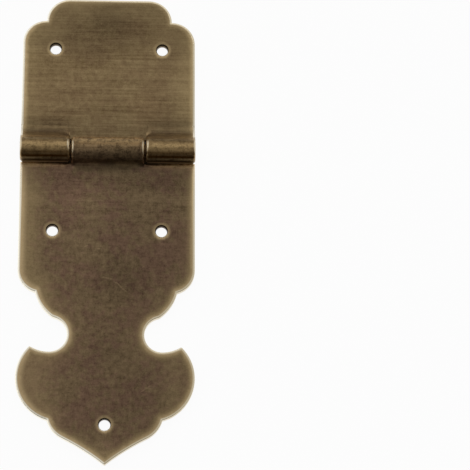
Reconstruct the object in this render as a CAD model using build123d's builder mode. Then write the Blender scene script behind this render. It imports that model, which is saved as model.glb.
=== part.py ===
from build123d import *
from math import acos, cos, degrees, radians, sin, sqrt, tan
import os

# A decorative hinge of sheet brass, lying flat on its back.
# X runs along the pin, +Y towards the plain upper leaf and +Z out of the front.
# The origin is under the middle of the hinge, on the plane of both backs.

# Sheet, pin and barrel
leaf_width = 40.0
sheet = 1.5
edge_round = 0.3            # rounding of the leaves' front edges
pin_diameter = 2.8
pin_clearance = 0.05        # radial, between the pin and the knuckles
pin_recess = 0.2            # each pin end lies this far inside the barrel
pin_chamfer = 0.3
centre_knuckle = 16.6       # length of the lower leaf's knuckle
knuckle_gap = 0.45          # end play between neighbouring knuckles
barrel_clearance = 0.15     # from a knuckle to the edge of the leaf opposite
upper_neck_angle = 50.0     # slope of the sheet from the upper leaf up to the barrel
upper_neck_bend = 3.0       # hollow radius at the foot of that slope
lower_neck_angle = 75.0
lower_neck_bend = 2.6
seam_gap = 0.4              # opening behind the barrel where the roll ends
rim_chamfer = 0.4           # ends of the knuckles

# Upper leaf, measured from the pin
upper_reach = 37.6
corner_radius = 5.4         # stepped corners above, rounded shoulders below
upper_screw_row = 25.2

# Lower leaf, measured from the pin
lower_reach = 72.6          # to the tail's point, before its rounding
lower_screw_row = 18.9

# Ornament of the lower leaf, built up from the tail's point
chin_radius = 6.5
chin_inset = 13.44          # from the leaf's side, as notch_inset
chin_rise = 11.8            # above the tail's point, as lobe_rise and tip_hole_rise
chin_turn = 26.4            # slope where the round chin runs into the hollow tail
lobe_radius = 10.0          # each lobe reaches out to the line of the leaf's side
lobe_rise = 19.6
notch_radius = 4.0
notch_inset = 7.35
notch_depth = 4.1           # from the top of the lobe's circle down to the floor of the notch
flare_radius = 8.0          # flatter lower stretch of the notch, out to the horn
flare_angle = 42.0
scallop_radius = 10.0
brow_angle = 27.5           # lean of the line from the notch up to the scallop
brow_bite = 0.25            # overlap of the notch and the scallop on that line
brow_round = 2.0            # blunt corner where the scallop runs into the notch
shoulder_drop = 2.6         # from the scallop's middle down to the end of the round shoulders
point_round = 0.35          # horns and tail tip
tip_hole_rise = 9.0

# Screw holes
screw_hole = 2.6
screw_spread = 24.8
hole_chamfer = 0.2

half_width = leaf_width / 2
tab_width = leaf_width - 2 * corner_radius
bore_radius = pin_diameter / 2 + pin_clearance
barrel_radius = bore_radius + sheet
outer_start = centre_knuckle / 2 + knuckle_gap
outer_knuckle = half_width - outer_start
pin_row = (lower_reach - upper_reach) / 2

# Middles of the ornament's circles, beside the midline and above the tail's point
chin_side = half_width - chin_inset
lobe_side = half_width - lobe_radius
notch_side = half_width - notch_inset
notch_rise = lobe_rise + lobe_radius - notch_depth + notch_radius
brow_span = scallop_radius + notch_radius - brow_bite
scallop_side = notch_side - brow_span * sin(radians(brow_angle))
scallop_rise = notch_rise + brow_span * cos(radians(brow_angle))
shoulder_rise = scallop_rise - shoulder_drop

# A leaf stops short of the barrel where the other leaf's knuckle turns.
relief = sqrt((barrel_radius + barrel_clearance) ** 2 - (barrel_radius - sheet) ** 2)

# The roll stops where its outside would come within the seam gap of the neck's back.
wrap_angle = 360 - degrees(acos((barrel_radius - sheet - seam_gap) / barrel_radius))

# The leaves are drawn away from the pin on the plane of their backs, the ornament up from the tail's point.
upper_side = Plane((0, pin_row, 0))
lower_side = Plane((0, pin_row, 0), x_dir=(-1, 0, 0))
tail_side = Plane((0, pin_row - lower_reach, 0))
upper_profile = Plane((0, pin_row, 0), x_dir=(0, 1, 0), z_dir=(1, 0, 0))
lower_profile = Plane((0, pin_row, 0), x_dir=(0, -1, 0), z_dir=(-1, 0, 0))


def neck_reach(neck_angle, neck_bend):
    """Distance from the pin to where the sheet leaves the flat, with barrel, slope and bend tangent."""
    slope = radians(neck_angle)
    rise = barrel_radius * (1 + cos(slope)) - sheet - neck_bend * (1 - cos(slope))
    return barrel_radius * sin(slope) + rise / tan(slope) + neck_bend * sin(slope)


def rolled_knuckle(profile_plane, length, neck_angle, neck_bend):
    """One knuckle and its neck: the sheet bends up and rolls over the front of the pin."""
    neck_start = neck_reach(neck_angle, neck_bend)
    with BuildPart() as knuckle:
        with BuildSketch(profile_plane):
            with BuildLine():
                front_bend = JernArc((neck_start, sheet), (-1, 0), neck_bend, -neck_angle)
                back_bend = JernArc((neck_start, 0), (-1, 0), neck_bend + sheet, -neck_angle)
                outside = CenterArc((0, barrel_radius), barrel_radius, 90 - neck_angle, wrap_angle)
                inside = CenterArc((0, barrel_radius), bore_radius, 90 - neck_angle, wrap_angle)
                Line(front_bend @ 0, back_bend @ 0)
                Line(front_bend @ 1, outside @ 0)
                Line(back_bend @ 1, inside @ 0)
                Line(outside @ 1, inside @ 1)
            make_face()
        extrude(amount=length)
        arcs = edges().filter_by(GeomType.CIRCLE)
        around_pin = arcs.filter_by(lambda e: abs(e.arc_center.Y - pin_row) < 1e-3)
        chamfer(around_pin.group_by(SortBy.RADIUS)[-1], rim_chamfer)
    return knuckle.part


def pressed_plate(outline):
    """A flat outline pressed out of the sheet, with its front edge rounded all the way round."""
    with BuildPart() as plate:
        extrude(outline, amount=sheet)
        fillet(plate.faces().sort_by(Axis.Z)[-1].edges(), edge_round)
    return plate.part


def screw_hole_rims(leaf):
    """The front edges of the leaf's screw holes."""
    rings = leaf.edges().filter_by(GeomType.CIRCLE).filter_by(Plane.XY)
    return rings.filter_by(lambda e: abs(e.radius - screw_hole / 2) < 1e-3).group_by(Axis.Z)[-1]


# Upper leaf: a broad plate and a narrower tab, each with two round corners.
with BuildSketch(upper_side) as broad_plate:
    with Locations((0, relief)):
        Rectangle(leaf_width, upper_reach - corner_radius - relief, align=(Align.CENTER, Align.MIN))
    fillet(vertices().group_by(Axis.Y)[-1], corner_radius)

with BuildSketch(upper_side) as tab:
    with Locations((0, relief)):
        Rectangle(tab_width, upper_reach - relief, align=(Align.CENTER, Align.MIN))
    fillet(vertices().group_by(Axis.Y)[-1], corner_radius)

upper_neck = neck_reach(upper_neck_angle, upper_neck_bend)
outer_side = upper_profile.offset(outer_start)
outer_roll = rolled_knuckle(outer_side, outer_knuckle, upper_neck_angle, upper_neck_bend)

with BuildPart() as upper_leaf:
    add(pressed_plate(broad_plate.sketch))
    add(pressed_plate(tab.sketch))
    with BuildSketch(upper_side):
        with Locations((outer_start + edge_round, relief)):
            Rectangle(outer_knuckle, upper_neck - relief, align=(Align.MIN, Align.MIN))
        mirror(about=Plane.YZ)
    extrude(amount=sheet, mode=Mode.SUBTRACT)
    add(outer_roll)
    mirror(outer_roll, about=Plane.YZ)
    with Locations(upper_side.offset(sheet)):
        with Locations((0, upper_screw_row)):
            with GridLocations(screw_spread, 0, 2, 1):
                Hole(screw_hole / 2)
    chamfer(screw_hole_rims(upper_leaf), hole_chamfer)

# Lower leaf: a plate with round shoulders, a waisted body of scallops and lobes, and a pointed tail.
with BuildSketch(lower_side) as shoulders:
    with Locations((0, relief)):
        Rectangle(leaf_width, lower_reach - shoulder_rise - relief, align=(Align.CENTER, Align.MIN))
    fillet(vertices().group_by(Axis.Y)[-1], corner_radius)

with BuildSketch(tail_side) as waist:
    with Locations((scallop_side, scallop_rise)):
        Circle(scallop_radius)
    with Locations((lobe_side, lobe_rise)):
        Circle(lobe_radius)
    with Locations((0, scallop_rise)):
        Rectangle(scallop_side, scallop_radius, align=(Align.MIN, Align.MIN))
    with Locations((0, lobe_rise)):
        Rectangle(notch_side - notch_radius / 2, scallop_rise - lobe_rise, align=(Align.MIN, Align.MIN))
        Rectangle(lobe_side, lobe_radius, align=(Align.MIN, Align.MAX))
    with Locations((notch_side, notch_rise)):
        Circle(notch_radius, mode=Mode.SUBTRACT)
    with BuildLine():
        flare = JernArc((notch_side, notch_rise - notch_radius), (1, 0), flare_radius, flare_angle)
        Polyline(flare @ 1, (notch_side, notch_rise), flare @ 0)
    make_face(mode=Mode.SUBTRACT)
    horn = vertices().filter_by(lambda v: v.X > notch_side and lobe_rise < v.Y < notch_rise)
    fillet(horn, point_round)
    brow = vertices().filter_by(lambda v: v.X > scallop_side and notch_rise < v.Y < scallop_rise)
    fillet(brow, brow_round)
    mirror(about=Plane.YZ)

with BuildSketch(tail_side) as tail:
    turn = radians(chin_turn)
    chin_end = (chin_side + chin_radius * sin(turn), chin_rise - chin_radius * cos(turn))
    with Locations((chin_side, chin_rise)):
        Circle(chin_radius)
    with Locations((0, chin_rise)):
        Rectangle(chin_side, chin_radius, align=(Align.MIN, Align.MIN))
    with BuildLine():
        hollow = TangentArc(chin_end, (0, 0), tangent=(-cos(turn), -sin(turn)))
        Polyline(hollow @ 1, (0, chin_rise), (chin_side, chin_rise), hollow @ 0)
    make_face()
    mirror(about=Plane.YZ)
    fillet(vertices().sort_by(Axis.Y)[0], point_round)

lower_neck = neck_reach(lower_neck_angle, lower_neck_bend)
centre_side = lower_profile.offset(-centre_knuckle / 2)
centre_roll = rolled_knuckle(centre_side, centre_knuckle, lower_neck_angle, lower_neck_bend)

with BuildPart() as lower_leaf:
    for outline in (shoulders, waist, tail):
        add(pressed_plate(outline.sketch))
    with BuildSketch(lower_side):
        with Locations((0, relief)):
            Rectangle(
                centre_knuckle - 2 * edge_round,
                lower_neck - relief,
                align=(Align.CENTER, Align.MIN),
            )
    extrude(amount=sheet, mode=Mode.SUBTRACT)
    add(centre_roll)
    with Locations(lower_side.offset(sheet)):
        with Locations((0, lower_screw_row)):
            with GridLocations(screw_spread, 0, 2, 1):
                Hole(screw_hole / 2)
        with Locations((0, lower_reach - tip_hole_rise)):
            Hole(screw_hole / 2)
    chamfer(screw_hole_rims(lower_leaf), hole_chamfer)

with BuildPart() as hinge_pin:
    with BuildSketch(upper_profile):
        with Locations((0, barrel_radius)):
            Circle(pin_diameter / 2)
    extrude(amount=half_width - pin_recess, both=True)
    chamfer(edges().filter_by(GeomType.CIRCLE), pin_chamfer)

upper_leaf.part.label = "upper_leaf"
lower_leaf.part.label = "lower_leaf"
hinge_pin.part.label = "hinge_pin"

os.makedirs("parts", exist_ok=True)
export_step(upper_leaf.part, "parts/upper_leaf.step")
export_step(lower_leaf.part, "parts/lower_leaf.step")
export_step(hinge_pin.part, "parts/hinge_pin.step")
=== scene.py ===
import math

import bmesh
import bpy
import numpy as np
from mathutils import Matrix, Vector
from mathutils.geometry import delaunay_2d_cdt


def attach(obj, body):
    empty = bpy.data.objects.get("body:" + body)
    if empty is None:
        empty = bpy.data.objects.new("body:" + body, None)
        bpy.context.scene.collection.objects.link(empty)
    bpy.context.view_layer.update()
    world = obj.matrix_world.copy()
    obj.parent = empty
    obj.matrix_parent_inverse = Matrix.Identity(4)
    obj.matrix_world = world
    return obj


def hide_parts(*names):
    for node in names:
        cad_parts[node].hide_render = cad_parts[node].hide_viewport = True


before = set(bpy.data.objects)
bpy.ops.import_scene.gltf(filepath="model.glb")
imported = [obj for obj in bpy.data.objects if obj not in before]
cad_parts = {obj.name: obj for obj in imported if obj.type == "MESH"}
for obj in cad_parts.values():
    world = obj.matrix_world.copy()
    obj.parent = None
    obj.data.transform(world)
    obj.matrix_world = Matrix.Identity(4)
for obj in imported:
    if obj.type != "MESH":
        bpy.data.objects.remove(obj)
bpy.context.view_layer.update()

MM = 0.001

# The part's sizes in millimetres, as the CAD has them.
SHEET = 1.5
AXIS_Y = 17.5
AXIS_Z = 2.95
HALF_WIDTH = 20.0
CENTRE_END = 8.3
OUTER_START = 8.75
UPPER_FOOT = 6.45
LOWER_FOOT = 5.4
HOLES = ((-12.4, 42.7), (12.4, 42.7), (-12.4, -1.4), (12.4, -1.4), (0.0, -46.1))

# Distances in millimetres that tell what a point belongs to. FAR stands for no wear.
FLAT = 2e-4
RAISED = 0.05
BARREL_ZONE = 7.0
BARREL_SIDE = 2.9
BARREL_SKIN = 3.0
BARREL_OUTSIDE = 2.3
TUCKED_FROM = 2.6
HOLE_EDGES = 2.2
HOLE_RIM = 1.5
HOLE_WALL = 0.1
LIP_FROM = 0.19
LIP_TO = 0.01
RELIEF_BEYOND_FOOT = 0.3
RELIEF_INSIDE_RIM = 0.4
RIM_ROUNDING = 0.3
WALL_BAND = 0.6
FAR = 9.0

# Fineness of the leaves' meshes: the width in millimetres of the triangles on the flats, the rows that a neck
# is cut into, and the angle in degrees from which an edge is shaded sharp.
FRONT_STEP = 0.55
BACK_STEP = 0.7
NECK_ROWS = 8
SHARP_ANGLE = 50

# Fine shaping that the solids don't have: the share of its height that a neck's end loses by the gap, how far
# in millimetres the edge under the other leaf's knuckles moves towards them, and how much of the CAD chamfer
# there is filled.
NECK_DROP = 0.8
EDGE_TUCK = 0.09
CHAMFER_DEPTH = 0.31
CHAMFER_FILL = 0.55

# Weights of the wear and the painted light: how much painted highlight goes to edges that face left and down,
# the spread in degrees of the rubbed crest, which also stands in for the barrel's highlight, how much rubbed
# metal and painted light the flat and neck close to the barrel get, how dark the creases are, and how dark
# the painted shade in the holes is.
HIGHLIGHT_LEFT = 0.85
HIGHLIGHT_DOWN = 0.35
CREST_SPREAD = 38
RUBBED_AND_LIT_NEAR = 0.8
UPPER_CREASE = 0.42
LOWER_CREASE = 0.13
HOLE_PAINTED_SHADE = 1.35

# Painted highlights (+) and painted shade (-) on each leaf's knuckles, by the angle in degrees from the
# barrel's top towards +Y, and painted light on the lower leaf beside its knuckle, where the barrel shades it,
# by the distance in millimetres from the pin's axis.
UPPER_PAINTED_BANDS = (
    (-87, 0.3), (-76, -0.62), (-68, 0.03), (-62, 0.25), (-56, -0.42), (-50, -0.8), (-45, -0.74), (-40, -0.43),
    (-31, -0.52), (-26, -0.48), (-22, -0.25), (-15, -0.1), (-8, -0.17), (-4, 0.01), (0, 0.15), (15, 0.04),
    (20, -0.2), (28, -0.26), (33, -0.15), (40, 0.19), (49, 0.79), (60, 1.1))
LOWER_PAINTED_BANDS = (
    (-80, 0.36), (-68, 0.29), (-56, -0.37), (-45, -0.27), (-35, -0.24), (-26, -0.14), (-15, -0.09),
    (-8, -0.22), (0, 0.02), (10, -0.27), (22, -0.1), (33, 0.34), (40, 0.6), (49, 1.3), (65, 1.6))
PAINTED_LIGHT_BESIDE_KNUCKLE = ((2.6, 2.5), (2.95, 2.3), (3.2, 1.2), (3.45, 0.6), (3.75, 0.35), (4.4, 0.0))


# Leaves: the CAD faces with their flats divided finely, so that wear can follow the outline.

def sliced(node, columns, rows):
    """Points in millimetres and triangles of a CAD node, welded, its barrel and neck cut at these X and Y."""
    bm = bmesh.new()
    bm.from_mesh(node.data)
    bmesh.ops.remove_doubles(bm, verts=bm.verts, dist=2e-6)
    planes = [((x * MM, 0, 0), (1, 0, 0)) for x in columns]
    planes += [((0, y * MM, 0), (0, 1, 0)) for y in rows]
    for point, normal in planes:
        near = [f for f in bm.faces if abs(f.calc_center_median().y - AXIS_Y * MM) < BARREL_ZONE * MM]
        geom = near + list({e for f in near for e in f.edges}) + list({v for f in near for v in f.verts})
        bmesh.ops.bisect_plane(bm, geom=geom, dist=1e-7, plane_co=point, plane_no=normal)
    bmesh.ops.triangulate(bm, faces=bm.faces)
    bm.verts.ensure_lookup_table()
    points = np.array([v.co for v in bm.verts]) / MM
    faces = np.array([[v.index for v in f.verts] for f in bm.faces])
    bm.free()
    return points, faces


def inside(pts, loop_a, loop_b):
    """Even-odd test of flat points against boundary edges."""
    odd = np.zeros(len(pts), bool)
    for (ax, ay), (bx, by) in zip(loop_a, loop_b):
        if ay == by:
            continue
        crosses = (pts[:, 1] < ay) != (pts[:, 1] < by)
        at = ax + (pts[:, 1] - ay) * (bx - ax) / (by - ay)
        odd ^= crosses & (pts[:, 0] < at)
    return odd


def nearest(pts, seg_a, seg_b):
    """Distance from flat points to the nearest of these edges, and which edge that is."""
    best = np.full(len(pts), 1e9)
    which = np.zeros(len(pts), int)
    for i, (a, b) in enumerate(zip(seg_a, seg_b)):
        d = b - a
        t = np.clip(((pts - a) @ d) / max(d @ d, 1e-12), 0, 1)
        far = np.linalg.norm(pts - a - t[:, None] * d, axis=1)
        which[far < best] = i
        best = np.minimum(best, far)
    return best, which


def from_hole(pts):
    """Distance from flat points to the middle of the nearest hole."""
    return np.min([np.hypot(*(pts - h).T) for h in HOLES], axis=0)


def by_relief(x, away, foot):
    """Which points lie where a leaf is cut back for the other leaf's knuckles."""
    return (np.abs(away) < foot + RELIEF_BEYOND_FOOT) & (np.abs(x) < HALF_WIDTH - RELIEF_INSIDE_RIM)


def boundary(faces):
    """Edges that only one of these triangles uses."""
    edges = np.vstack([faces[:, [0, 1]], faces[:, [1, 2]], faces[:, [2, 0]]])
    key = np.sort(edges, axis=1)
    _, first, count = np.unique(key, axis=0, return_index=True, return_counts=True)
    return edges[first[count == 1]]


def upward(points, faces):
    """Z of the triangles' normals, not of unit length."""
    tri = points[faces]
    return np.cross(tri[:, 1] - tri[:, 0], tri[:, 2] - tri[:, 0])[:, 2]


def flat_at(points, faces, height, up):
    """Which triangles lie at this height and face up (1) or down (-1)."""
    level = (np.abs(points[faces][:, :, 2] - height) < FLAT).all(1)
    return level & (upward(points, faces) * up > 0)


def divided(points, faces, height, up, step):
    """Replaces the flat faces at this height with an even mesh of triangles about one step wide."""
    flat = flat_at(points, faces, height, up)
    edges = boundary(faces[flat])
    a, b = points[edges[:, 0], :2], points[edges[:, 1], :2]
    low, high = np.minimum(a, b).min(0), np.maximum(a, b).max(0)
    columns = np.arange(low[0] + step / 4, high[0], step)
    rows = np.arange(low[1] + step / 2, high[1], step * math.sqrt(3) / 2)
    grid = np.array([(x + (i % 2) * step / 2, y) for i, y in enumerate(rows) for x in columns])
    grid = grid[inside(grid, a, b)]
    grid = grid[nearest(grid, a, b)[0] > step * 0.45]
    used, flat_edges = np.unique(edges, return_inverse=True)
    flat_edges = flat_edges.reshape(edges.shape)
    plane_points = [Vector(p) for p in np.vstack([points[used, :2], grid])]
    made = delaunay_2d_cdt(plane_points, [tuple(map(int, e)) for e in flat_edges], [], 0, 1e-7)
    verts = np.array([tuple(v) for v in made[0]])
    tris = np.array(made[2])
    tris = tris[inside(verts[tris].mean(1), a, b)]
    source = np.array([o[0] for o in made[3]])
    on_rim = used[np.minimum(source, len(used) - 1)]
    tris = np.where(source < len(used), on_rim, len(points) + source - len(used))[tris]
    points = np.vstack([points, np.column_stack([grid, np.full(len(grid), height)])])
    turn = upward(points, tris) * up < 0
    tris[turn] = tris[turn][:, ::-1]
    return points, np.vstack([faces[~flat], tris])


def outline_of(points, faces, foot):
    """Both ends of each edge around the front of a leaf, without those of its holes and its relief."""
    front = flat_at(points, faces, SHEET, 1)
    lower = points[faces][:, :, 2].min(1) < SHEET - 1e-3
    low = set(map(int, np.unique(faces[lower & ~front])))
    rim = np.array([e for e in boundary(faces[front]) if e[0] in low and e[1] in low])
    middle = points[rim].mean(1)[:, :2]
    outline = rim[(from_hole(middle) >= HOLE_EDGES) & ~by_relief(middle[:, 0], middle[:, 1] - AXIS_Y, foot)]
    return points[outline[:, 0], :2], points[outline[:, 1], :2]


def lip_light_of(points, faces):
    """For the triangles of the holes' chamfers, from 1 at a hole's lower side to -1 at its upper side."""
    # The material paints a highlight on the lower side of each chamfer and shade on its upper side.
    middle = points[faces].mean(1)
    spread = middle[:, None, :2] - np.array(HOLES)
    closest = np.hypot(*np.moveaxis(spread, 2, 0)).argmin(1)
    spread = spread[np.arange(len(middle)), closest]
    radius = np.hypot(*spread.T)
    depth = SHEET - middle[:, 2]
    chamfered = (radius < HOLE_RIM) & (depth < LIP_FROM) & (depth > LIP_TO)
    return np.where(chamfered, -spread[:, 1] / np.maximum(radius, 0.1), 0.0)


def fade(value, low, high):
    """Smooth 0 to 1 between two values, in either order."""
    t = np.clip((value - low) / (high - low), 0, 1)
    return t * t * (3 - 2 * t)


def leaf(name, side, foot, span, columns, ends, crest):
    """A leaf of fine triangles with the wear that its material draws on.

    side is 1 for the upper leaf and -1 for the lower one. foot is how far from the pin's axis the neck leaves
    the flat, span the range of the knuckles in |X|, and columns the X where barrel and neck are cut. ends has
    the |X| of each bright end of a knuckle, worn metal with a painted highlight, the angle and half width of
    its arc in degrees, and how much it is weakened. crest is the angle around the barrel that is rubbed most,
    which also stands in for its highlight. Besides wear, the points carry painted light and shade.
    """
    rows = [AXIS_Y + side * d for d in np.linspace(BARREL_SIDE, foot, NECK_ROWS + 1)[:-1]]
    points, faces = sliced(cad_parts[name], columns, rows)
    seg_a, seg_b = outline_of(points, faces, foot)
    points, faces = divided(points, faces, SHEET, 1, FRONT_STEP)
    front_count = len(points)
    points, faces = divided(points, faces, 0.0, -1, BACK_STEP)

    # The neck's ends by the gaps between the knuckles are pulled down towards the flat, as stamped sheet is.
    x, away = np.abs(points[:, 0]), (points[:, 1] - AXIS_Y) * side
    beside = np.maximum(span[0] - x, x - span[1])
    gap_side = span[0] - x if side > 0 else x - span[1]
    neck = (points[:, 2] > SHEET + FLAT) & (away > BARREL_SIDE) & (away < foot)
    drop = fade(gap_side, -1.5, 0.0) * fade(away, BARREL_SIDE, 3.9) * NECK_DROP
    points[neck, 2] -= (points[neck, 2] - SHEET) * drop[neck]

    # The edge that runs close under the other leaf's knuckles is a little squarer and closer to them.
    tucked = (away > TUCKED_FROM) & (away < 3.1) & (points[:, 2] < SHEET + FLAT) & (beside > 0.3)
    points[tucked & (away < BARREL_SIDE), 1] -= side * EDGE_TUCK
    chamfer = tucked & (points[:, 2] > SHEET - CHAMFER_DEPTH)
    points[chamfer, 2] += CHAMFER_FILL * (SHEET - points[chamfer, 2])

    # Wear by distance from the outline and the holes. The relief and the barrel have none of it.
    height = points[:, 2]
    edge, segment = nearest(points[:, :2], seg_a, seg_b)
    edge = np.minimum(edge, FAR)
    run = seg_b - seg_a
    faces_light = ((HIGHLIGHT_DOWN * run[:, 0] - HIGHLIGHT_LEFT * run[:, 1]) / np.hypot(*run.T))[segment]
    hole = from_hole(points[:, :2]) - HOLE_RIM
    below = height < SHEET - FLAT
    bored = (hole < HOLE_WALL) & (height < SHEET - HOLE_WALL)
    hole = np.where(bored, FAR, np.clip(hole, 0, FAR))
    edge[front_count:] += RIM_ROUNDING
    walls = below & ~bored & (np.arange(len(points)) < front_count)
    edge[walls & (edge < WALL_BAND)] = 0.0
    neck_edge = np.maximum(HALF_WIDTH - RIM_ROUNDING - x, 0.0)
    neck_side = (x > HALF_WIDTH - 0.5) & (away > BARREL_SIDE) & (away < foot) & (height > 0.3)
    edge = np.where((height > SHEET + FLAT) | neck_side, neck_edge, edge)
    across, above = points[:, 1] - AXIS_Y, height - AXIS_Z
    from_axis = np.hypot(across, above)
    edge[(from_axis < BARREL_SKIN) | (below & by_relief(x, away, foot))] = FAR

    # Wear and painted highlights of the barrel: bright ends, worn metal with a painted highlight; a rubbed
    # crest, which also stands in for the highlight; and the flat and neck close to it, lighter as rubbed
    # metal and as painted light.
    outside = (from_axis < BARREL_SKIN) & (from_axis > BARREL_OUTSIDE)
    raised = (height > SHEET + RAISED) & ~outside
    angle = np.degrees(np.arctan2(across, above))
    end = [np.abs(x - at) + weak + 0.6 * ((angle - mid) / half) ** 2 for at, mid, half, weak in ends]
    end = np.where(outside, np.min(end, axis=0), FAR)
    beyond = fade(away, 4.4, 3.0) * (away > TUCKED_FROM) * fade(beside, 0.6, 2.0)
    steep = fade(away, foot - 1.0, foot - 2.8) * fade(beside, -0.8, -2.6)
    crown_and_highlight = np.exp(-((angle - crest) / CREST_SPREAD) ** 2)
    crown_and_highlight = np.where(outside, crown_and_highlight, RUBBED_AND_LIT_NEAR * np.where(raised, steep, beyond))

    # Darker at the neck's foot, and painted shade on the holes' bores.
    crease_and_shade = fade(away, foot + 2.4, foot - 0.3) * fade(away, foot - 2.6, foot - 1.2) * fade(beside, 2.0, -2.4)
    crease_and_shade = np.where(outside, 0.0, crease_and_shade * (UPPER_CREASE if side > 0 else LOWER_CREASE))
    crease_and_shade[bored] = np.where(height[bored] > 0.4, HOLE_PAINTED_SHADE, 0.0)

    # Painted light and shade: highlight and shadow bands around the barrel and at its ends, and painted light
    # on the neck or on the flat beside the knuckle, where the barrel shades it.
    if side > 0:
        bands = UPPER_PAINTED_BANDS
        painted_light = 0.36 * fade(away, 5.0, 4.2) + 0.46 * fade(away, 3.3, 2.85)
        painted_light += 0.55 * fade(gap_side, -1.8, -0.7) * fade(away, 5.4, 4.4)
        painted_light = np.where(raised, painted_light, 0.0)
    else:
        bands = LOWER_PAINTED_BANDS
        painted_light = np.interp(away, *zip(*PAINTED_LIGHT_BESIDE_KNUCKLE)) * fade(beside, 0.6, 2.0)
        painted_light = np.where(raised | (away < TUCKED_FROM), 0.0, painted_light)
    tip = np.min([np.abs(x - e[0]) for e in ends], axis=0)
    painted_bands = np.interp(angle, *zip(*bands)) + 2.0 * fade(tip, 0.35, 0.1) * fade(angle, -25, -45)
    painted_bands += 0.5 * fade(tip, 0.9, 0.3) * fade(angle, 25, 45)
    painted_light = np.where(outside, painted_bands, painted_light)

    mesh = bpy.data.meshes.new(name + "_worn")
    mesh.from_pydata(points * MM, [], faces.tolist())
    wear_and_light = {"edge_mm": edge, "faces_light": faces_light, "hole_mm": hole, "end_highlight_mm": end,
            "crown_and_highlight": crown_and_highlight, "crease_and_shade": crease_and_shade, "painted_light": painted_light}
    for key, values in wear_and_light.items():
        mesh.attributes.new(key, "FLOAT", "POINT").data.foreach_set("value", values.astype(np.float32))
    lip_light = lip_light_of(points, faces)
    mesh.attributes.new("lip_light", "FLOAT", "FACE").data.foreach_set("value", lip_light.astype(np.float32))
    mesh.shade_smooth()
    mesh.set_sharp_from_angle(angle=math.radians(SHARP_ANGLE))
    mesh.validate()
    piece = bpy.data.objects.new(name + "_worn", mesh)
    bpy.context.collection.objects.link(piece)
    return piece


# Materials

def srgb(r, g, b):
    """A colour in the 0 to 255 values of a picture, for a shader."""
    linear = [c / 255 / 12.92 if c <= 10 else ((c / 255 + 0.055) / 1.055) ** 2.4 for c in (r, g, b)]
    return (*linear, 1.0)


# Colours. The rubbed crest, the bare rims, the knuckles' ends and the holes' lower lips carry painted
# highlights, the dark crease colour also paints shade in the holes, and the shaded paper is a painted shadow.
RUBBED_CREST_AND_HIGHLIGHT = srgb(164, 137, 94)
WORN_RIM = srgb(194, 170, 130)
BARE_RIM_AND_HIGHLIGHT = srgb(216, 202, 172)
BARE_RIM_LIT_FROM_LEFT = srgb(250, 243, 224)
KNUCKLE_END_WEAR_AND_HIGHLIGHT = srgb(222, 207, 178)
DARK_CREASE_AND_SHADE = srgb(24, 17, 10)
PIN_DARK = srgb(58, 42, 26)
PIN_LIGHT = srgb(92, 70, 44)
WHITE = (1, 1, 1, 1)
PAPER = (0.9, 0.9, 0.9, 1)
SHADED_PAPER = (0.13, 0.085, 0.05, 1)


class Nodes:
    """Short calls for building a material's nodes."""

    def __init__(self, tree):
        self.tree = tree

    def add(self, kind, **values):
        node = self.tree.nodes.new(kind)
        for key, value in values.items():
            setattr(node, key, value)
        return node

    def link(self, a, b):
        self.tree.links.new(a, b)

    def put(self, socket, value):
        if isinstance(value, bpy.types.NodeSocket):
            self.link(value, socket)
        else:
            socket.default_value = value

    def math(self, operation, a, b=0.0, c=None, clamp=False):
        node = self.add("ShaderNodeMath", operation=operation, use_clamp=clamp)
        self.put(node.inputs[0], a)
        self.put(node.inputs[1], b)
        if c is not None:
            self.put(node.inputs[2], c)
        return node.outputs[0]

    def plus(self, a, b):
        return self.math("ADD", a, b)

    def minus(self, a, b):
        return self.math("SUBTRACT", a, b)

    def times(self, a, b):
        return self.math("MULTIPLY", a, b)

    def most(self, a, b):
        return self.math("MAXIMUM", a, b)

    def absolute(self, a):
        return self.math("ABSOLUTE", a)

    def swing(self, noise, weight):
        """A noise moved to lie about zero, times this weight."""
        return self.times(self.minus(noise, 0.5), weight)

    def step(self, value, low, high, out_low=0.0, out_high=1.0, kind="SMOOTHSTEP"):
        node = self.add("ShaderNodeMapRange", interpolation_type=kind)
        self.put(node.inputs["Value"], value)
        for key, v in (("From Min", low), ("From Max", high), ("To Min", out_low), ("To Max", out_high)):
            self.put(node.inputs[key], v)
        return node.outputs["Result"]

    def noise(self, vector, scale, detail=2.0, rough=0.5):
        node = self.add("ShaderNodeTexNoise")
        self.link(vector, node.inputs["Vector"])
        node.inputs["Scale"].default_value = scale
        node.inputs["Detail"].default_value = detail
        node.inputs["Roughness"].default_value = rough
        return node.outputs[0]

    def scaled(self, vector, scale, place=(0, 0, 0), turn=0.0):
        node = self.add("ShaderNodeMapping")
        self.link(vector, node.inputs["Vector"])
        node.inputs["Location"].default_value = place
        node.inputs["Rotation"].default_value = (0, 0, math.radians(turn))
        node.inputs["Scale"].default_value = scale
        return node.outputs[0]

    def moved(self, vector, place=(0, 0, 0), turn=0.0):
        return self.scaled(vector, (1, 1, 1), place, turn)

    def xyz(self, vector):
        node = self.add("ShaderNodeSeparateXYZ")
        self.link(vector, node.inputs[0])
        return node.outputs[:3]

    def rgb(self, red, green, blue):
        node = self.add("ShaderNodeCombineColor")
        for socket, value in zip(node.inputs[:3], (red, green, blue)):
            self.put(socket, value)
        return node.outputs[0]

    def mix(self, factor, a, b, blend="MIX"):
        node = self.add("ShaderNodeMix", data_type="RGBA", blend_type=blend)
        self.put(node.inputs[0], factor)
        self.put(node.inputs[6], a)
        self.put(node.inputs[7], b)
        return node.outputs[2]

    def attribute(self, name):
        return self.add("ShaderNodeAttribute", attribute_name=name).outputs["Fac"]


def metal(name):
    """A new metal material, its nodes and its shader."""
    material = bpy.data.materials.new(name)
    material.use_nodes = True
    shader = material.node_tree.nodes["Principled BSDF"]
    shader.inputs["Metallic"].default_value = 1.0
    return material, Nodes(material.node_tree), shader


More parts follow.
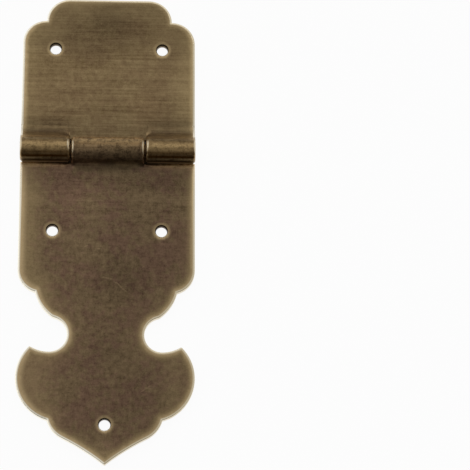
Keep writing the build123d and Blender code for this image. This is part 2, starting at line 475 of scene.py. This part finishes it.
def worn_brass_and_painted_light(name, olive, brown, band, wide_band, west, slope, patches, scratches,
               brush, cross, speckle, seed):
    """Antique brass: patina over brushed metal, rubbed back to olive and bare metal by hands and dies.

    olive and brown are each a dark and a light tone. band is the tone of rubbed metal, wide_band how much of
    it spreads inwards on the right and on the left, and west how much farther the worn rim and its painted
    highlight reach on the left. slope is the painted light on the left and on the right. patches has the X,
    Y, radius and brightness of each lighter or darker spot, and scratches the X, Y, angle in degrees and
    length of each one. brush is how strong the brushing along X is below and above, cross how much grain runs
    both ways, and speckle how strong the mottling is. seed moves the noises, so that the leaves differ. All
    lengths are in millimetres. Besides patina and wear, the material paints light and shade.
    """
    material, n, shader = metal(name)
    place = n.add("ShaderNodeTexCoord").outputs["Object"]
    flat = n.scaled(place, (1 / MM, 1 / MM, 1 / MM))
    mm = n.scaled(place, (1 / MM, 1 / MM, 1 / MM), (seed, seed * 0.7, 0))
    x, y, _ = n.xyz(flat)
    from_pin = n.absolute(n.minus(y, AXIS_Y))

    streaks = n.noise(n.scaled(mm, (0.035, 1.0, 1.0)), 2.4, 5.0, 0.65)
    bands = n.noise(n.scaled(mm, (0.03, 0.36, 1.0)), 1.0, 2.0, 0.5)
    along = n.noise(n.scaled(mm, (0.4, 1.9, 1.0)), 1.1, 3.0, 0.6)
    across = n.noise(n.scaled(mm, (1.9, 0.4, 1.0)), 1.1, 3.0, 0.6)
    mottle = n.noise(mm, 0.8, 5.0, 0.7)
    grain = n.noise(mm, 3.6, 2.0, 0.6)
    blotch = n.noise(mm, 0.11, 3.0, 0.55)
    tint = n.noise(n.moved(mm, (31, 17, 5)), 0.6, 3.0, 0.6)

    # Tone: brushing, mottling and scratches. The barrel is less brushed and more mottled than the flats.
    brushed = n.plus(n.swing(streaks, 1.0), n.swing(bands, 0.8))
    brushed = n.times(brushed, n.step(y, -10.0, 6.0, *brush))
    brushed = n.times(brushed, n.step(from_pin, 2.6, 3.4, 0.3, 1.0))
    mottled = n.plus(n.swing(mottle, speckle), n.swing(grain, 1.2))
    mottled = n.plus(mottled, n.plus(n.swing(along, cross), n.swing(across, cross)))
    tone = n.plus(brushed, n.times(mottled, n.step(from_pin, 2.4, 3.2, 2.2, 1.0)))
    for scratch_x, scratch_y, turn, length in scratches:
        lengthwise, sideways, _ = n.xyz(n.moved(n.moved(flat, (-scratch_x, -scratch_y, 0)), turn=-turn))
        thin = n.step(n.absolute(n.plus(sideways, n.swing(mottle, 0.5))), 0.06, 0.2, 1.5, 0.0)
        short = n.step(n.absolute(lengthwise), 0.3 * length, 0.5 * length, 1.0, 0.0)
        tone = n.plus(tone, n.times(thin, n.times(short, n.step(grain, 0.3, 0.6))))

    # Patina: dark to light by tone, leaning from olive to brown in blotches.
    mixed = n.step(tone, -0.62, 0.62, kind="LINEAR")
    leaning = n.step(n.plus(blotch, n.swing(tint, 0.8)), 0.38, 0.62)
    leaning = n.times(leaning, n.step(from_pin, 2.4, 3.4, 0.2, 1.0))
    colour = n.mix(leaning, n.mix(mixed, *olive), n.mix(mixed, *brown))

    # Painted shade and light: darker at the far end, on both sides of the barrel and in a band below it, with
    # a painted slope of light across, and a few lighter or darker patches.
    wander = n.swing(blotch, 9.0)
    painted_shade = n.step(n.plus(y, wander), 37.0, 47.0, 1.0, 0.70)
    painted_shade = n.times(painted_shade, n.step(n.plus(y, n.swing(streaks, 6.0)), 31.0, 21.5, 1.0, 0.76))
    painted_shade = n.times(painted_shade, n.step(n.plus(x, wander), -14.0, 12.0, *slope))
    for patch_x, patch_y, radius, gain in patches:
        squares = [n.math("POWER", n.minus(a, b), 2.0) for a, b in ((x, patch_x), (y, patch_y))]
        far = n.plus(n.math("SQRT", n.plus(*squares)), n.swing(mottle, radius))
        painted_shade = n.times(painted_shade, n.step(far, 0.3 * radius, 1.3 * radius, gain, 1.0))
    below_barrel = n.absolute(n.plus(n.minus(y, 11.0), n.swing(streaks, 3.0)))
    painted_shade = n.times(painted_shade, n.step(below_barrel, 1.6, 3.6, 0.88, 1.0))
    colour = n.mix(1.0, colour, n.rgb(painted_shade, painted_shade, painted_shade), "MULTIPLY")

    # Rubbed metal: a narrow and a wide band along the outline, the lobes, and rings around the holes. Less of
    # it is kept at the far end and near the barrel.
    edge_mm = n.attribute("edge_mm")
    edge = n.plus(edge_mm, n.swing(mottle, 2.0))
    hole = n.plus(n.attribute("hole_mm"), n.swing(mottle, 0.5))
    wide = n.times(n.step(edge, 1.0, 6.5, 1.0, 0.0), n.step(x, -7.0, -15.0, *wide_band))
    lobes = n.most(n.step(x, -9.0, -17.0, 0.0, 0.5), n.step(x, 9.0, 17.0, 0.0, 0.25))
    wide = n.most(wide, n.times(n.step(y, -24.0, -28.0), lobes))
    kept = n.times(n.step(y, 46.0, 50.0, 1.0, 0.45), n.step(from_pin, 3.0, 13.0, 0.5, 1.0))
    rubbed = n.times(n.most(n.step(edge, 0.0, 2.4, 0.85, 0.0), wide), kept)
    rubbed = n.most(rubbed, n.step(hole, 0.0, 0.9, 0.45, 0.0))
    colour = n.mix(n.times(rubbed, n.step(tone, -0.6, 0.4, 0.7, 1.0)), colour, band)

    # The barrel: its rubbed crest, which also stands in for its highlight, and the painted light and shade
    # around the barrel and beside it, the painted shade warmer.
    crown_and_highlight = n.times(n.attribute("crown_and_highlight"), n.step(tone, -0.6, 0.5, 0.15, 0.55))
    colour = n.mix(crown_and_highlight, colour, RUBBED_CREST_AND_HIGHLIGHT)
    painted_light = n.attribute("painted_light")
    painted_gain, painted_darkening = n.plus(painted_light, 1.0), n.math("MINIMUM", painted_light, 0.0)
    gains = [n.plus(painted_gain, n.times(painted_darkening, warmth)) for warmth in (0.0, 0.15, 0.28)]
    colour = n.mix(1.0, colour, n.rgb(*gains), "MULTIPLY")

    # Worn rim and bare metal along the outline, with a painted highlight on the sides that face left and on
    # the holes' lower lips, and the knuckles' ends, worn metal with a painted highlight.
    lit_side = n.step(n.attribute("faces_light"), -0.3, 0.8)
    narrow = n.minus(n.step(lit_side, 0.0, 1.0, 1.6, 1.35), n.times(lit_side, n.step(x, -12.0, -17.0, 0.0, west)))
    reach = n.times(n.plus(edge_mm, n.swing(mottle, 1.1)), narrow)
    worn_and_painted_light = n.times(n.step(reach, 0.0, 1.8, 1.0, 0.0), n.times(kept, n.step(lit_side, 0.0, 1.0, 0.55, 0.85)))
    worn_and_painted_light = n.most(worn_and_painted_light, n.step(hole, 0.0, 0.9, 0.3, 0.0))
    colour = n.mix(worn_and_painted_light, colour, WORN_RIM)
    lip_light = n.attribute("lip_light")
    bare_and_highlight = n.times(n.step(edge_mm, 0.0, 0.3, 1.0, 0.0), n.step(from_pin, 3.0, 13.0, 0.65, 1.0))
    bare_and_highlight = n.most(bare_and_highlight, n.step(lip_light, 0.1, 0.6))
    colour = n.mix(bare_and_highlight, colour, n.mix(lit_side, BARE_RIM_AND_HIGHLIGHT, BARE_RIM_LIT_FROM_LEFT))
    colour = n.mix(n.step(n.attribute("end_highlight_mm"), 0.25, 0.7, 1.0, 0.0), colour, KNUCKLE_END_WEAR_AND_HIGHLIGHT)

    # Darker creases at the neck's foot, and painted shade on the holes' bores and upper lips.
    crease_and_shade = n.math("MULTIPLY", n.attribute("crease_and_shade"), n.step(tone, -0.5, 0.6, 0.8, 0.55), clamp=True)
    crease_and_shade = n.times(crease_and_shade, n.step(lip_light, 0.0, 0.5, 1.0, 0.0))
    crease_and_shade = n.most(crease_and_shade, n.step(lip_light, 0.0, -0.5))
    n.link(n.mix(crease_and_shade, colour, DARK_CREASE_AND_SHADE), shader.inputs["Base Color"])

    rough = n.minus(n.plus(0.36, n.times(tone, 0.06)), n.times(bare_and_highlight, 0.18))
    n.link(rough, shader.inputs["Roughness"])
    bump = n.add("ShaderNodeBump")
    bump.inputs["Strength"].default_value = 0.3
    bump.inputs["Distance"].default_value = 0.04 * MM
    n.link(tone, bump.inputs["Height"])
    n.link(bump.outputs[0], shader.inputs["Normal"])
    return material


upper_brass = worn_brass_and_painted_light(
    "antique_brass_upper",
    olive=(srgb(104, 85, 58), srgb(146, 126, 92)),
    brown=(srgb(98, 78, 55), srgb(138, 117, 85)),
    band=srgb(160, 140, 100), wide_band=(0.34, 0.34), west=0.0, slope=(1.05, 0.98),
    patches=((0.0, 51.0, 5.0, 0.82), (10.0, 46.0, 6.0, 1.14), (8.0, 27.5, 5.0, 1.12)),
    scratches=(),
    brush=(1.7, 1.7), cross=0.3, speckle=1.5, seed=3.0)
lower_brass = worn_brass_and_painted_light(
    "antique_brass_lower",
    olive=(srgb(94, 77, 56), srgb(144, 122, 92)),
    brown=(srgb(92, 70, 56), srgb(138, 111, 89)),
    band=srgb(154, 134, 96), wide_band=(0.12, 0.55), west=0.4, slope=(1.10, 0.92),
    patches=((3.0, -12.5, 6.5, 0.83), (-5.0, 5.5, 6.5, 1.13), (0.0, -30.0, 4.0, 0.9),
             (0.0, -52.0, 3.0, 1.25)),
    scratches=((0.4, -12.6, -12, 3.0), (3.2, -14.5, -43, 4.4), (-4.7, -5.1, 20, 1.0), (-2.0, -5.7, -10, 1.2),
               (9.0, -38.0, 35, 3.0)),
    brush=(0.2, 0.9), cross=0.6, speckle=2.1, seed=41.0)

# The pin is brass with turned marks, painted dark brown as the shade it lies in between the knuckles.
pin_brass, pin_nodes, pin_shader = metal("pin_brass_painted_dark")
pin_place = pin_nodes.add("ShaderNodeTexCoord").outputs["Object"]
turned = pin_nodes.noise(pin_nodes.scaled(pin_place, (4000, 500, 500)), 1.0, 3.0)
pin_nodes.link(pin_nodes.mix(turned, PIN_DARK, PIN_LIGHT), pin_shader.inputs["Base Color"])
pin_nodes.link(pin_nodes.step(turned, 0.3, 0.7, 0.3, 0.45), pin_shader.inputs["Roughness"])


# Pieces

def both_sides(distances):
    return [side * x for side in (-1, 1) for x in distances]


upper = leaf(
    "upper_leaf", side=1, foot=UPPER_FOOT, span=(OUTER_START, HALF_WIDTH),
    columns=both_sides((9.0, 9.3, 9.65, 10.1, 11.5, 13.0, 14.5, 16.0, 17.5, 18.6, 19.1, 19.45, 19.75)),
    ends=((OUTER_START, 12, 46, 0.0), (HALF_WIDTH, 10, 60, 0.1)), crest=-2)
upper.data.materials.append(upper_brass)
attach(upper, "upper")
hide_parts("upper_leaf")

lower = leaf(
    "lower_leaf", side=-1, foot=LOWER_FOOT, span=(0.0, CENTRE_END),
    columns=both_sides((0.7, 2.2, 3.7, 5.2, 6.4, 6.95, 7.4, 7.75, 8.05)),
    ends=((CENTRE_END, 0, 56, 0.05),), crest=34)
lower.data.materials.append(lower_brass)
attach(lower, "lower")
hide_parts("lower_leaf")

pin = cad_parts["hinge_pin"]
for slot in pin.material_slots:
    slot.material = pin_brass


# Stage: a white floor under the hinge, a soft sky and one large soft lamp above the far end.

# Width and height of the floor in metres, and how much of what is seen of it is glow.
FLOOR_SIZE = 6.0
FLOOR_Z = -0.05 * MM
FLOOR_GLOW = 0.94

# Where the floor doesn't glow and its paper is painted dark brown as the hinge's shadow, in millimetres:
# under the slits along the barrel and the gaps between the knuckles.
SLIT_FROM = AXIS_Y - 2.75
SLIT_TO = AXIS_Y + 1.71
SLIT_HALF_LENGTH = 19.7
GAP_HALF_WIDTH = 0.3
GAP_HALF_LENGTH = 2.75


def shaded_floor(n, x, y):
    """1 where the floor lies under the slits or a gap, and 0 elsewhere."""
    from_middle = n.absolute(x)
    slit = n.math("COMPARE", y, (SLIT_FROM + SLIT_TO) / 2 * MM, (SLIT_TO - SLIT_FROM) / 2 * MM)
    slit = n.times(slit, n.math("LESS_THAN", from_middle, SLIT_HALF_LENGTH * MM))
    gap = n.math("COMPARE", from_middle, (CENTRE_END + OUTER_START) / 2 * MM, GAP_HALF_WIDTH * MM)
    gap = n.times(gap, n.math("LESS_THAN", n.absolute(n.minus(y, AXIS_Y * MM)), GAP_HALF_LENGTH * MM))
    return n.most(slit, gap)


half = FLOOR_SIZE / 2
corners = [(-half, -half, 0), (half, -half, 0), (half, half, 0), (-half, half, 0)]
floor_mesh = bpy.data.meshes.new("floor")
floor_mesh.from_pydata(corners, [], [(0, 1, 2, 3)])
floor = bpy.data.objects.new("floor", floor_mesh)
floor.location = (0, 0, FLOOR_Z)
bpy.context.collection.objects.link(floor)

white = bpy.data.materials.new("white_floor")
white.use_nodes = True
white.node_tree.nodes.clear()
w = Nodes(white.node_tree)
path = w.add("ShaderNodeLightPath").outputs
floor_x, floor_y, _ = w.xyz(w.add("ShaderNodeNewGeometry").outputs["Position"])
shaded = shaded_floor(w, floor_x, floor_y)
# The camera sees the floor glow, and the metal mirrors little of the glow of the near right.
lean = w.minus(floor_y, w.times(floor_x, 0.3))
mirrored = w.times(path["Is Glossy Ray"], w.step(lean, -0.075, -0.058, 0.12, 1.0))
seen = w.most(path["Is Camera Ray"], w.most(mirrored, path["Is Transmission Ray"]))
paper = w.add("ShaderNodeBsdfDiffuse")
# Under the slits and gaps the paper is painted dark brown as shadow.
w.link(w.mix(shaded, PAPER, SHADED_PAPER), paper.inputs["Color"])
glow = w.add("ShaderNodeEmission")
glow.inputs["Color"].default_value = WHITE
glow.inputs["Strength"].default_value = 1.0
both = w.add("ShaderNodeMixShader")
w.link(w.times(seen, w.step(shaded, 0.0, 1.0, FLOOR_GLOW, 0.0)), both.inputs[0])
w.link(paper.outputs[0], both.inputs[1])
w.link(glow.outputs[0], both.inputs[2])
w.link(both.outputs[0], w.add("ShaderNodeOutputMaterial").inputs["Surface"])
floor.data.materials.append(white)

world = bpy.data.worlds.new("studio")
bpy.context.scene.world = world
world.use_nodes = True
world.node_tree.nodes.clear()
sky = Nodes(world.node_tree)
sky_x, sky_y, _ = sky.xyz(sky.add("ShaderNodeTexCoord").outputs["Generated"])
level = sky.plus(sky.step(sky_y, -1.0, 0.2, 0.24, 0.70), sky.step(sky_x, -0.5, -0.95, 0.0, 0.5))
air = sky.add("ShaderNodeBackground")
air.inputs["Color"].default_value = WHITE
sky.link(level, air.inputs["Strength"])
sky.link(air.outputs[0], sky.add("ShaderNodeOutputWorld").inputs["Surface"])

lamp = bpy.data.objects.new("softbox", bpy.data.lights.new("softbox", "AREA"))
lamp.data.shape = "RECTANGLE"
lamp.data.size = 0.9
lamp.data.size_y = 0.6
lamp.data.energy = 0.9
lamp.location = (0.0, 0.70, 0.65)
lamp.rotation_euler = (-lamp.location).to_track_quat("-Z", "Y").to_euler()
bpy.context.collection.objects.link(lamp)

camera = bpy.data.objects.new("camera", bpy.data.cameras.new("camera"))
camera.data.sensor_width = 36.0
camera.data.lens = 155.27
camera.data.clip_start = 0.01
camera.location = (0.0022968, -0.1317516, 0.4443828)
camera.rotation_euler = (0.28469193, -0.05892938, -0.00563382)
bpy.context.collection.objects.link(camera)
bpy.context.scene.camera = camera
bpy.context.scene.view_settings.view_transform = "Standard"
